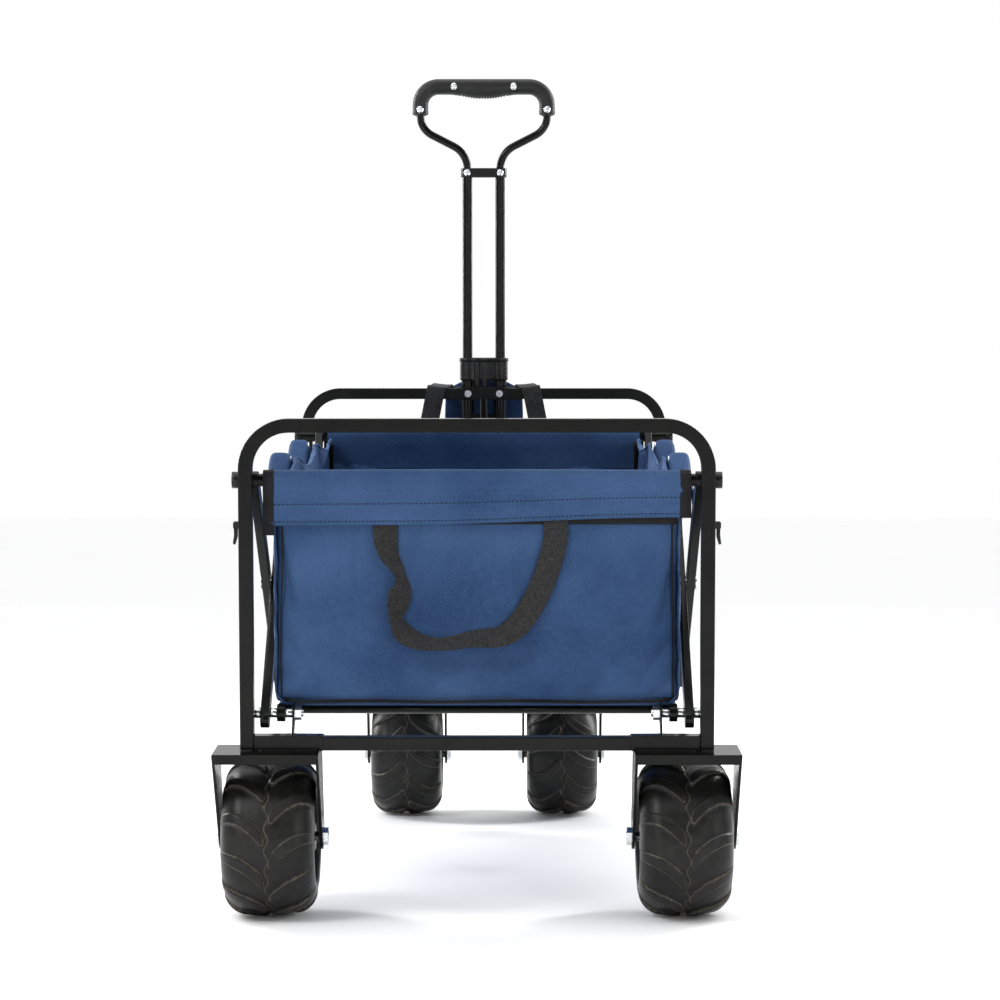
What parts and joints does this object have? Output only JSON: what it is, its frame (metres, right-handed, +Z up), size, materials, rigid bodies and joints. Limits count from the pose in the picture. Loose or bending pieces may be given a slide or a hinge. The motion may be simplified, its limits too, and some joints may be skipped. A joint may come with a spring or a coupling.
{
  "type": "beach cart",
  "caption": "Folding beach cart: a fabric bag on a folding lattice between two tube end frames, with wide tyres, front casters and a telescoping pull handle.",
  "frame": {"origin": "on the ground, in the middle of the bounding box", "axes": "+X across to the cart's right seen from behind, +Y forward to the pull handle, +Z up"},
  "size_m": [0.539, 1.032, 0.9815],
  "materials": {
    "frame_steel": "gloss",
    "zinc_bolts": "satin",
    "black_plastic": "satin",
    "tyre": "satin",
    "blue_fabric": "matte",
    "webbing": "matte",
    "grip_rubber": "satin"
  },
  "bodies": {
    "root": {"rear_frame": "frame_steel", "rear_bottom_bar": "frame_steel", "rear_pivot_bolts": "zinc_bolts", "rear_fork_left": "frame_steel", "rear_fork_right": "frame_steel", "rear_axle_bolts": "zinc_bolts", "lock_housings": "black_plastic"},
    "lever_left": {"lock_lever_left": "black_plastic"},
    "lever_right": {"lock_lever_right": "black_plastic"},
    "rear_wheel_left": {"rear_tyre_left": "tyre", "rear_hub_left": "black_plastic"},
    "rear_wheel_right": {"rear_tyre_right": "tyre", "rear_hub_right": "black_plastic"},
    "arms_a1": {"arms_a1": "frame_steel", "rivets_a1": "zinc_bolts"},
    "arms_b1": {"arms_b1": "frame_steel", "rear_top_rod": "frame_steel", "rear_rod_caps": "black_plastic"},
    "arms_a2": {"arms_a2": "frame_steel", "rivets_a2": "zinc_bolts"},
    "arms_b2": {"arms_b2": "frame_steel"},
    "arms_a3": {"arms_a3": "frame_steel", "rivets_a3": "zinc_bolts", "front_top_rod": "frame_steel", "front_rod_caps": "black_plastic"},
    "arms_b3": {"arms_b3": "frame_steel"},
    "rear_floor": {"rear_floor_frame": "frame_steel", "bag_floor_rear": "blue_fabric", "bag_floor_middle": "blue_fabric"},
    "front_floor": {"front_floor_frame": "frame_steel", "bag_floor_front": "blue_fabric"},
    "rear_bag": {"bag_rear_panel": "blue_fabric", "bag_side_left": "blue_fabric", "bag_side_right": "blue_fabric", "rear_carry_strap": "webbing"},
    "front_bag": {"bag_front_panel": "blue_fabric", "front_straps": "webbing", "front_pouch": "blue_fabric"},
    "front_frame": {"front_frame": "frame_steel", "front_bottom_bar": "frame_steel", "front_pivot_bolts": "zinc_bolts", "caster_carrier": "frame_steel", "caster_kingpins": "zinc_bolts", "handle_catch": "black_plastic", "handle_pivot_pin": "zinc_bolts"},
    "caster_left": {"caster_fork_left": "frame_steel", "front_axle_left": "zinc_bolts"},
    "caster_right": {"caster_fork_right": "frame_steel", "front_axle_right": "zinc_bolts"},
    "front_wheel_left": {"front_tyre_left": "tyre", "front_hub_left": "black_plastic"},
    "front_wheel_right": {"front_tyre_right": "tyre", "front_hub_right": "black_plastic"},
    "handle_lower": {"handle_lower_tubes": "frame_steel", "tube_block": "black_plastic"},
    "handle_upper": {"handle_upper_tubes": "frame_steel", "tube_clamp": "black_plastic", "grip_loop": "frame_steel", "grip": "grip_rubber", "handle_screws": "zinc_bolts"}
  },
  "joints": [
    {"name": "fold", "type": "hinge", "parent": "root", "child": "arms_a1", "pos_m": [0, -0.46805, 0.21136], "axis": [1, 0, 0], "range_deg": [0, 40], "deforming": ["bag_side_left", "bag_side_right", "bag_floor_middle"]},
    {"name": "bay1_cross", "type": "hinge", "parent": "arms_a1", "child": "arms_b1", "pos_m": [0, -0.34781, 0.33992], "axis": [1, 0, 0], "range_deg": [-80, 0]},
    {"name": "rear_rod_turn", "type": "hinge", "parent": "arms_b1", "child": "rear_bag", "pos_m": [0, -0.48706, 0.4476], "axis": [1, 0, 0], "range_deg": [0, 40]},
    {"name": "bay1_lower", "type": "hinge", "parent": "arms_b1", "child": "arms_a2", "pos_m": [0, -0.20856, 0.23224], "axis": [1, 0, 0], "range_deg": [0, 80]},
    {"name": "bay1_upper", "type": "hinge", "parent": "arms_a1", "child": "arms_b2", "pos_m": [0, -0.22757, 0.46848], "axis": [1, 0, 0], "range_deg": [-80, 0]},
    {"name": "bay2_upper", "type": "hinge", "parent": "arms_a2", "child": "arms_b3", "pos_m": [0, 0.03193, 0.48936], "axis": [1, 0, 0], "range_deg": [-80, 0]},
    {"name": "bay3_cross", "type": "hinge", "parent": "arms_b3", "child": "arms_a3", "pos_m": [0, 0.17118, 0.38168], "axis": [1, 0, 0], "range_deg": [0, 80]},
    {"name": "front_rod_turn", "type": "hinge", "parent": "arms_a3", "child": "front_bag", "pos_m": [0, 0.29142, 0.51023], "axis": [1, 0, 0], "range_deg": [-40, 0]},
    {"name": "front_frame_turn", "type": "hinge", "parent": "arms_b3", "child": "front_frame", "pos_m": [0, 0.31043, 0.274], "axis": [1, 0, 0], "range_deg": [0, 40]},
    {"name": "rear_floor_swing", "type": "hinge", "parent": "root", "child": "rear_floor", "pos_m": [0, -0.46805, 0.21136], "axis": [1, 0, 0], "range_deg": [0, 80]},
    {"name": "front_floor_swing", "type": "hinge", "parent": "front_frame", "child": "front_floor", "pos_m": [0, 0.31043, 0.274], "axis": [1, 0, 0], "range_deg": [-80, 0]},
    {"name": "rear_wheel_left_spin", "type": "hinge", "parent": "root", "child": "rear_wheel_left", "pos_m": [-0.212, -0.43, 0.081], "axis": [1, 0, 0], "continuous": true},
    {"name": "rear_wheel_right_spin", "type": "hinge", "parent": "root", "child": "rear_wheel_right", "pos_m": [0.212, -0.43, 0.081], "axis": [1, 0, 0], "continuous": true},
    {"name": "caster_left_swivel", "type": "hinge", "parent": "front_frame", "child": "caster_left", "pos_m": [-0.105, 0.415, 0.174], "axis": [0, 0, 1], "continuous": true},
    {"name": "caster_right_swivel", "type": "hinge", "parent": "front_frame", "child": "caster_right", "pos_m": [0.105, 0.415, 0.174], "axis": [0, 0, 1], "continuous": true},
    {"name": "front_wheel_left_spin", "type": "hinge", "parent": "caster_left", "child": "front_wheel_left", "pos_m": [-0.105, 0.435, 0.081], "axis": [1, 0, 0], "continuous": true},
    {"name": "front_wheel_right_spin", "type": "hinge", "parent": "caster_right", "child": "front_wheel_right", "pos_m": [0.105, 0.435, 0.081], "axis": [1, 0, 0], "continuous": true},
    {"name": "handle_hinge", "type": "hinge", "parent": "front_frame", "child": "handle_lower", "pos_m": [0, 0.35142, 0.26325], "axis": [1, 0, 0], "range_deg": [-105, 0], "deforming": ["front_pouch", "front_straps"]},
    {"name": "handle_slide", "type": "slide", "parent": "handle_lower", "child": "handle_upper", "axis": [0, -0.0802, 0.9968], "range_m": [-0.23, 0]},
    {"name": "lever_left_turn", "type": "hinge", "parent": "root", "child": "lever_left", "pos_m": [-0.243, -0.48844, 0.40234], "axis": [0, 0.9968, 0.0802], "range_deg": [0, 20], "stiffness_Nm_per_rad": 0.02},
    {"name": "lever_right_turn", "type": "hinge", "parent": "root", "child": "lever_right", "pos_m": [0.243, -0.48844, 0.40234], "axis": [0, -0.9968, -0.0802], "range_deg": [0, 20], "stiffness_Nm_per_rad": 0.02}
  ],
  "couplings": [
    {"joint": "bay1_cross", "follows": "fold", "ratio": -2},
    {"joint": "rear_rod_turn", "follows": "fold", "ratio": 1},
    {"joint": "bay1_lower", "follows": "fold", "ratio": 2},
    {"joint": "bay1_upper", "follows": "fold", "ratio": -2},
    {"joint": "bay2_upper", "follows": "fold", "ratio": -2},
    {"joint": "bay3_cross", "follows": "fold", "ratio": 2},
    {"joint": "front_rod_turn", "follows": "fold", "ratio": -1},
    {"joint": "front_frame_turn", "follows": "fold", "ratio": 1},
    {"joint": "rear_floor_swing", "follows": "fold", "ratio": 2},
    {"joint": "front_floor_swing", "follows": "fold", "ratio": -2}
  ]
}
